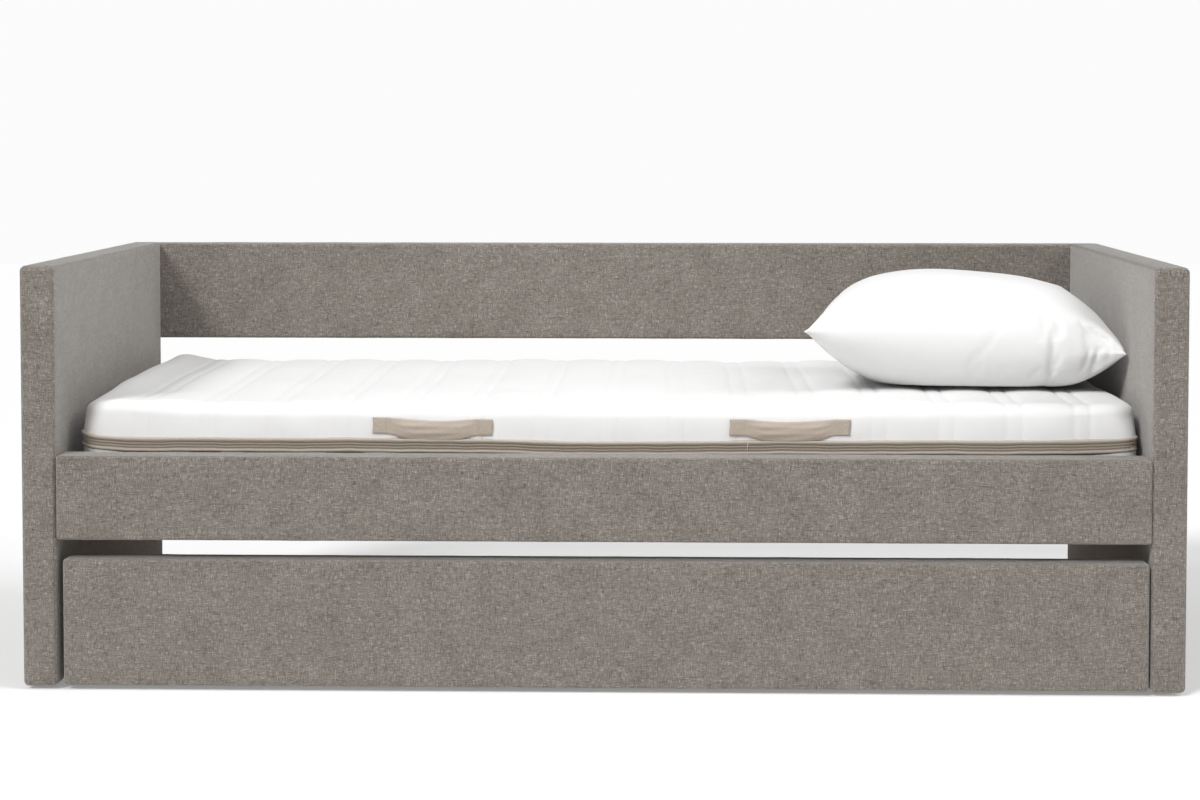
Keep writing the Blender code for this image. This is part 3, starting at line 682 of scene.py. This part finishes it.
def mattress_band():
    """The zip band round the mattress: piping, tape with its zip line darkened as painted shade in the
    groove, and a lower hem.
    """
    low, high = mattress_box()
    path, normals, length = outline_path(low, high, CORNER_AT_BAND, 0.010)
    tops = band_height(path[:, 0], path[:, 1], low, high)
    profile = np.array([(down / 1000, out / 1000) for down, out, _ in BAND_PROFILE])
    count, ring = len(path), len(profile)
    height = profile[-1, 0]
    loose = np.abs(normals[:, 1])
    ripple = 0.00050 * np.sin(length * 41.0) + 0.00040 * np.sin(length * 97.0 + 1.0)
    points = np.zeros((count, ring, 3))
    for number, (down, out) in enumerate(profile):
        inside = math.sin(np.clip(down / height, 0, 1) * math.pi)
        points[:, number, :2] = path + normals * (out - 0.0006 + ripple * 0.6 * inside * loose)[:, None]
        points[:, number, 2] = tops - down + ripple * inside
    following = (np.arange(count) + 1) % count
    around = np.concatenate([[0], np.cumsum(np.linalg.norm(np.diff(profile, axis=0), axis=1))])
    around = np.append(around, around[-1] + 0.02)
    far = np.append(length, length[-1] + np.linalg.norm(path[0] - path[-1]))
    faces, slots, uvs = [], [], []
    for i in range(count):
        for j in range(ring):
            k = (j + 1) % ring
            faces.append((i * ring + j, i * ring + k, following[i] * ring + k, following[i] * ring + j))
            slots.append(BAND_PROFILE[j][2])
            uvs += [(far[i], around[j]), (far[i], around[j + 1])]
            uvs += [(far[i + 1], around[j + 1]), (far[i + 1], around[j])]
    points = points.reshape(-1, 3)
    made = build_mesh("mattress_band", points, faces, [PIPING, TAPE, ZIP_SHADOW], uvs, slots)
    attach(made, "mattress")
    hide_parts("mattress_zip_band")


def capsule_chain(segments, radius):
    """Points, faces and UVs of short thread stitches, each a small six-sided tube with closed ends."""
    points, faces = [], []
    sides = 6
    rings = ((0.0, 0.35), (0.18, 1.0), (0.82, 1.0), (1.0, 0.35))  # share of the length, and of the radius
    for start, end, out in segments:
        start, end, out = Vector(start), Vector(end), Vector(out)
        run = (end - start).normalized()
        side = run.cross(out).normalized()
        base = len(points)
        for share, size in rings:
            lift = 0.6 * radius * math.sin(math.pi * share)
            middle = start.lerp(end, share) + out * lift
            for number in range(sides):
                angle = 2 * math.pi * number / sides
                around = side * math.cos(angle) + out * math.sin(angle)
                points.append(middle + around * radius * size)
        for ring in range(len(rings) - 1):
            for number in range(sides):
                a = base + ring * sides + number
                b = base + ring * sides + (number + 1) % sides
                faces.append((a, b, b + sides, a + sides))
        faces.append(tuple(base + number for number in reversed(range(sides))))
        faces.append(tuple(base + (len(rings) - 1) * sides + number for number in range(sides)))
    return np.array([tuple(point) for point in points]), faces, front_uvs(points, faces)


def front_uvs(points, faces):
    """UVs in metres as seen from the front."""
    return [(points[corner][0], points[corner][2]) for face in faces for corner in face]


def stitches_between(start, end, out, stitch=0.0032, gap=0.0011):
    """The start, end and outward direction of each short stitch along a line."""
    start, end = Vector(start), Vector(end)
    count = max(1, round((end - start).length / (stitch + gap)))
    bare = 0.12
    made = []
    for number in range(count):
        first = start.lerp(end, (number + bare) / count)
        last = start.lerp(end, (number + 1 - bare) / count)
        made.append((first, last, out))
    return made


def strap_points(centre, half, face, sign, top):
    """Points of a handle, front then back, in columns along it: flat sewn ends and a folded middle."""
    end_share = 1 - HANDLE_END / half
    tilt = 0.0018 if centre < 0 else -0.0003  # the left handle's right end hangs lower
    columns = np.concatenate([np.linspace(-1, -end_share, 6), np.linspace(-end_share, end_share, 44)[1:-1],
                              np.linspace(end_share, 1, 6)])
    t, r = (grid.ravel() for grid in np.meshgrid(columns, np.linspace(0, 1, STRAP_ROWS), indexing="ij"))
    from_middle = np.abs(t)
    loose = smooth((end_share - from_middle) / 0.32)
    sag = HANDLE_SAG * np.clip(1 - (from_middle / end_share) ** 2, 0, 1) + tilt * t
    fold = 0.0026 * np.sin(math.pi * r) + 0.0004 * np.sin(r * 14 + t * 6 + 1.7 * centre)
    for place, width, height in HANDLE_FOLDS:
        fold += height * np.exp(-((r - place) / width) ** 2)
    tuck = 0.0010 * np.exp(-((from_middle - end_share) / 0.02) ** 2) * np.sin(math.pi * r)
    x = centre + t * half
    z = top - sag - r * (HANDLE_WIDTH + HANDLE_SPREAD * loose)
    out = HANDLE_FRONT + loose * fold - tuck
    waver = 0.0008 * np.sin(r * 5 + centre) * (from_middle > end_share)
    front = np.stack([x + waver, face + sign * out, z], 1)
    back = np.stack([x + waver, np.full_like(x, face - sign * HANDLE_BACK), z], 1)
    return np.concatenate([front, back])


def strap_faces(count, ring):
    """Quads of a closed strap with count columns of ring points on each side of it."""
    offset = count * ring
    quads = []
    for i in range(count - 1):
        for j in range(ring - 1):
            a, d = i * ring + j, (i + 1) * ring + j
            quads.append((a, a + 1, d + 1, d))
            quads.append((a + offset, d + offset, d + 1 + offset, a + 1 + offset))
        a, d = i * ring, (i + 1) * ring
        quads.append((a, d, d + offset, a + offset))
        a, d = a + ring - 1, d + ring - 1
        quads.append((a, a + offset, d + offset, d))
    for j in range(ring - 1):
        a, b = j, j + 1
        quads.append((a, a + offset, b + offset, b))
        a, b = a + offset - ring, b + offset - ring
        quads.append((a, b, b + offset, a + offset))
    return quads


def handle(node, sign):
    """A carrying handle of folded webbing on the front, sign -1, or on the back, sign 1."""
    low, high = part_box(node)
    centre, half = (low.x + high.x) / 2, (high.x - low.x) / 2
    face = high.y if sign < 0 else low.y  # where it meets the cover
    points = strap_points(centre, half, face, sign, high.z)
    faces = [quad[::-sign] for quad in strap_faces(len(points) // (2 * STRAP_ROWS), STRAP_ROWS)]
    strap = build_mesh(f"{node}_strap", points, faces, [WEBBING], front_uvs(points, faces))
    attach(strap, "mattress")
    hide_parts(node)
    handle_stitches(node, sign, centre, half, face, high.z)


def handle_stitches(node, sign, centre, half, face, top):
    """A sewn box with a cross in it on each end of a handle."""
    out = Vector((0, sign, 0))
    y = face + sign * (HANDLE_FRONT + 0.0001)
    from_end, from_edge, box_length = 0.0035, 0.0040, 0.0220
    segments = []
    for side in (-1, 1):
        x0 = centre + side * (half - from_end)
        x1 = centre + side * (half - from_end - box_length)
        z0, z1 = top - from_edge, top - HANDLE_WIDTH + from_edge
        corners = [(x0, y, z0), (x1, y, z0), (x1, y, z1), (x0, y, z1)]
        for a, b in zip(corners, corners[1:] + corners[:1]):
            segments += stitches_between(a, b, out)
        segments += stitches_between(corners[0], corners[2], out)
        segments += stitches_between(corners[1], corners[3], out)
    points, faces, uvs = capsule_chain(segments, 0.00042)
    made = build_mesh(f"{node}_stitches", points, faces, [THREAD], uvs)
    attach(made, "mattress")


def band_tack():
    """The small bar tack that closes the zip tape on the front."""
    low, high = mattress_box()
    top = float(band_height(TACK_X, low[1], low, high))
    front = low[1] - 0.0022
    segments = []
    for aside in (-0.0006, 0.0006):
        upper = (TACK_X + aside, front - 0.0008, top - 0.0040)
        lower = (TACK_X + aside * 0.4, front, top - 0.0195)
        segments.append((upper, lower, (0, -1, 0)))
    points, faces, uvs = capsule_chain(segments, 0.0006)
    made = build_mesh("mattress_band_tack", points, faces, [THREAD], uvs)
    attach(made, "mattress")


def mattress_handles():
    """Two handles on each long side."""
    for name in ("left", "right"):
        handle(f"mattress_handle_front_{name}", -1)
        handle(f"mattress_handle_rear_{name}", 1)


# ---------------------------------------- pillow
def rest_on(height, floor, soft=0.006):
    """Heights eased onto a floor instead of passing through it."""
    sink = height - floor
    return floor + np.where(sink < soft, soft * np.exp(np.minimum(sink - soft, 0) / soft), sink)


def pillow_form(u, v, layer):
    """Where the filled pillow lies: sewn flat at its two ends, folded round at the front and back."""
    filled = np.clip(np.abs(u) / PILLOW_SEWN, 0, 1)
    blunt = (u > 0) & (layer > 0)
    fullness, bluntness = np.where(blunt, 3.8, 2.35), np.where(blunt, 0.54, 0.62)
    along = (1 - filled ** fullness) ** bluntness
    across = np.sqrt(np.clip(1 - np.abs(v) ** 2.9, 0, 1))
    half_length, half_width = PILLOW_HALF
    drawn = PILLOW_DRAWN * (1 - v ** 2) * np.abs(u) ** 8
    back_corner = PILLOW_SKEW * (v + 1) / 2 * (1 - u) / 2
    x = PILLOW_MIDDLE[0] + u * half_length - np.sign(u) * drawn + back_corner
    y = PILLOW_MIDDLE[1] + v * (half_width - PILLOW_WAIST * (1 - np.abs(u) ** 2.2))
    rise = np.where(layer > 0, PILLOW_RISE, -PILLOW_DROP) * along * across
    hem = PILLOW_HEM * layer
    z = PILLOW_SEAM_HEIGHT - PILLOW_TILT * u + rise + hem
    return np.stack([x, y, rest_on(z, PILLOW_FLOOR)], 1)


def wrinkle_depth(points):
    """How far the short wrinkles beside the right corner dent the pillow's front half."""
    depth = np.zeros(len(points))
    for top_x, top_z, bottom_x, bottom_z, deepest in WRINKLES:
        line = np.array([bottom_x - top_x, bottom_z - top_z])
        length = np.hypot(*line)
        line /= length
        from_top = points[:, (0, 2)] - (top_x, top_z)
        along = from_top @ line
        aside = from_top @ np.array([-line[1], line[0]])
        begins = smooth((along + 0.010) / WRINKLE_FADE)
        fades = 1 - smooth((along - length + 0.012) / WRINKLE_FADE)
        depth += deepest * begins * fades * np.exp(-(aside / WRINKLE_WIDTH) ** 2)
    return np.where(points[:, 1] < PILLOW_MIDDLE[1], depth, 0.0)


def pillow_lattice(columns, rows):
    """Sheet coordinates of both layers, sharing their rim, with faces and UVs."""
    sheet, index = [], {}
    for layer in (1, -1):
        for i in range(columns + 1):
            for j in range(rows + 1):
                rim = i in (0, columns) or j in (0, rows)
                key = (i, j, 0 if rim else layer)
                if key not in index:
                    index[key] = len(sheet)
                    sheet.append((i / columns * 2 - 1, math.sin((j / rows - 0.5) * math.pi), key[2]))
    faces, uvs = [], []
    for layer in (1, -1):
        for i in range(columns):
            for j in range(rows):
                quad = [(i, j), (i + 1, j), (i + 1, j + 1), (i, j + 1)]
                quad = quad if layer > 0 else quad[::-1]
                faces.append([index.get((a, b, 0), index.get((a, b, layer))) for a, b in quad])
                uvs += [(a / columns * PILLOW_CASE[0], b / rows * PILLOW_CASE[1] + layer) for a, b in quad]
    return np.array(sheet), faces, uvs


def crease(made, frames):
    """Let slightly loose cloth settle round its filling, and return the moved points."""
    scene = bpy.context.scene
    cloth = made.modifiers.new("Cloth", "CLOTH")
    settings = cloth.settings
    settings.quality = 6
    settings.mass = 0.3
    settings.tension_stiffness = settings.compression_stiffness = 15.0
    settings.shear_stiffness = 5.0
    settings.bending_stiffness = 0.25
    settings.tension_damping = settings.compression_damping = settings.shear_damping = 8.0
    settings.air_damping = 2.0
    settings.shrink_min = -0.035
    settings.use_pressure = True
    settings.uniform_pressure_force = 4.0
    settings.effector_weights.gravity = 0.0
    cloth.collision_settings.use_self_collision = False
    cloth.point_cache.frame_start = 1
    cloth.point_cache.frame_end = frames
    scene.frame_start, scene.frame_end = 1, frames
    for number in range(1, frames + 1):
        scene.frame_set(number)
    settled = made.evaluated_get(bpy.context.evaluated_depsgraph_get())
    shape = np.zeros(len(made.data.vertices) * 3)
    settled.data.vertices.foreach_get("co", shape)
    made.modifiers.remove(cloth)
    scene.frame_set(1)
    return shape.reshape(-1, 3)


def spread(values, mesh, rounds):
    """Average values over neighbouring points, again and again."""
    edges = np.zeros(len(mesh.edges) * 2, np.int32)
    mesh.edges.foreach_get("vertices", edges)
    first, second = edges.reshape(-1, 2).T
    count = np.bincount(edges, minlength=len(values))[:, None]
    for _ in range(rounds):
        total = np.zeros_like(values)
        np.add.at(total, first, values[second])
        np.add.at(total, second, values[first])
        values = 0.5 * values + 0.5 * total / count
    return values


def pillow():
    """A filled pillow on the mattress: its resting form, with creases from a cloth simulation."""
    sheet, faces, uvs = pillow_lattice(*PILLOW_CELLS)
    form = pillow_form(*sheet.T)
    form[:, 1] += wrinkle_depth(form)
    made = build_mesh("pillow_case", form, faces, [COTTON], uvs)
    moved = crease(made, CREASE_FRAMES) - form
    folds = CREASE_GAIN * (moved - spread(moved, made.data, CREASE_SPREAD))
    size = np.linalg.norm(folds, axis=1, keepdims=True)
    folds *= np.minimum(1.0, CREASE_LIMIT / np.maximum(size, TINY))
    along = sheet[:, :1]
    folds *= 0.2 + np.where(along > 0, 0.8, 0.3) * smooth((np.abs(along) - 0.35) / 0.40)
    form = form + folds
    form[:, 2] = rest_on(form[:, 2], PILLOW_FLOOR)
    made.data.vertices.foreach_set("co", form.ravel())
    made.data.update()
    soft = made.modifiers.new("Smooth", "SUBSURF")
    soft.levels = soft.render_levels = 1
    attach(made, "pillow")
    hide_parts("pillow")


# ---------------------------------------- carried-over nodes
def dress_nodes():
    """Give every CAD node that stays in sight its own material."""
    finishes = {
        "_core": CORE, "bed_slat_": SLAT_Y, "trundle_slat_deck": SLAT_Y, "slat_ledger": RAIL_X,
        "cross_rail": RAIL_X, "trundle_left_rail": SLAT_Y, "trundle_right_rail": SLAT_Y,
        "corner_bracket": BRACKET_STEEL, "panel_bracket": BRACKET_STEEL, "caster_bracket": BRACKET_STEEL,
        "caster_axle": AXLE_STEEL, "caster_wheel": WHEEL_PLASTIC, "_glide": GLIDE_PLASTIC,
    }
    for name, node in NODES.items():
        if node.hide_render:
            continue
        for part, made in finishes.items():
            if part in name:
                node.data.materials.clear()
                node.data.materials.append(made)


# ---------------------------------------- stage, light and camera
DOME_LIGHT = 0.405   # strength of the dome as a light
DOME_SEEN = 0.97     # and where the camera sees it
CAMERA_AT = (0.1274, -5.0732, 1.0563)
CAMERA_DOWN = 2.688  # degrees below level
CAMERA_LEFT = 1.62   # degrees to the left of straight ahead
LENS = 73.65         # millimetres on a 36 mm wide sensor


def stage():
    """A plain pale floor with a faint glow of its own, like a light table, and soft studio light."""
    mesh = bpy.data.meshes.new("floor")
    reach, below = 14.0, 0.0004
    corners = [(-reach, -reach, 0), (reach, -reach, 0), (reach, reach, 0), (-reach, reach, 0)]
    mesh.from_pydata(corners, [], [(0, 1, 2, 3)])
    floor = bpy.data.objects.new("floor", mesh)
    bpy.context.scene.collection.objects.link(floor)
    floor.location.z = -below
    pale = Nodes("floor_pale").finish((0.77, 0.77, 0.77), 0.9, specular_ior_level=0.0, emission_strength=0.21)
    mesh.materials.append(pale)
    world = bpy.data.worlds.new("studio")
    bpy.context.scene.world = world
    world.use_nodes = True
    white_backdrop(world.node_tree)
    sun("key", direction=(0.45, 0.60, -0.65), angle=15, strength=1.85)
    sun("side", direction=(-0.80, 0.12, -0.59), angle=38, strength=1.17)
    soft_box(at=(0.0, -0.85, 1.95), towards=(0.0, 0.46, 0.68), size=(1.7, 0.45), power=9.8)


def white_backdrop(tree):
    """A soft dome of light that is plain white where it is seen directly."""
    dome = tree.nodes["Background"]
    dome.inputs["Color"].default_value = (1.0, 1.0, 1.0, 1.0)
    dome.inputs["Strength"].default_value = DOME_LIGHT
    seen = tree.nodes.new("ShaderNodeBackground")
    seen.inputs["Color"].default_value = (1.0, 1.0, 1.0, 1.0)
    seen.inputs["Strength"].default_value = DOME_SEEN
    path = tree.nodes.new("ShaderNodeLightPath")
    mix = tree.nodes.new("ShaderNodeMixShader")
    tree.links.new(path.outputs["Is Camera Ray"], mix.inputs["Fac"])
    tree.links.new(dome.outputs[0], mix.inputs[1])
    tree.links.new(seen.outputs[0], mix.inputs[2])
    tree.links.new(mix.outputs[0], tree.nodes["World Output"].inputs["Surface"])


def aimed(name, light, at, direction):
    """Put a light in the scene, shining along a direction."""
    made = bpy.data.objects.new(name, light)
    made.location = at
    made.rotation_euler = Vector(direction).to_track_quat("-Z", "Y").to_euler()
    bpy.context.scene.collection.objects.link(made)
    return made


def sun(name, direction, angle, strength):
    """A distant soft light: its angle in degrees sets how soft its shadows are."""
    light = bpy.data.lights.new(name, "SUN")
    light.angle = math.radians(angle)
    light.energy = strength
    aimed(name, light, (0, 0, 3), direction)


def soft_box(at, towards, size, power):
    """A long soft box over the bed that lights the back panel and the bedding."""
    light = bpy.data.lights.new("soft_box", "AREA")
    light.shape = "RECTANGLE"
    light.size, light.size_y = size
    light.energy = power
    aimed("soft_box", light, at, Vector(towards) - Vector(at)).visible_camera = False


def camera():
    """Eye height above the bed, a little right of its middle, looking slightly left and down."""
    data = bpy.data.cameras.new("camera")
    data.lens = LENS
    data.sensor_width = 36.0
    data.shift_y = -0.13
    data.clip_end = 100
    made = bpy.data.objects.new("camera", data)
    made.location = CAMERA_AT
    made.rotation_euler = (math.radians(90 - CAMERA_DOWN), 0, math.radians(CAMERA_LEFT))
    bpy.context.scene.collection.objects.link(made)
    bpy.context.scene.camera = made
    bpy.context.scene.view_settings.view_transform = "Standard"


camera()
stage()
boards()
mattress()
mattress_band()
mattress_handles()
band_tack()
pillow()
dress_nodes()
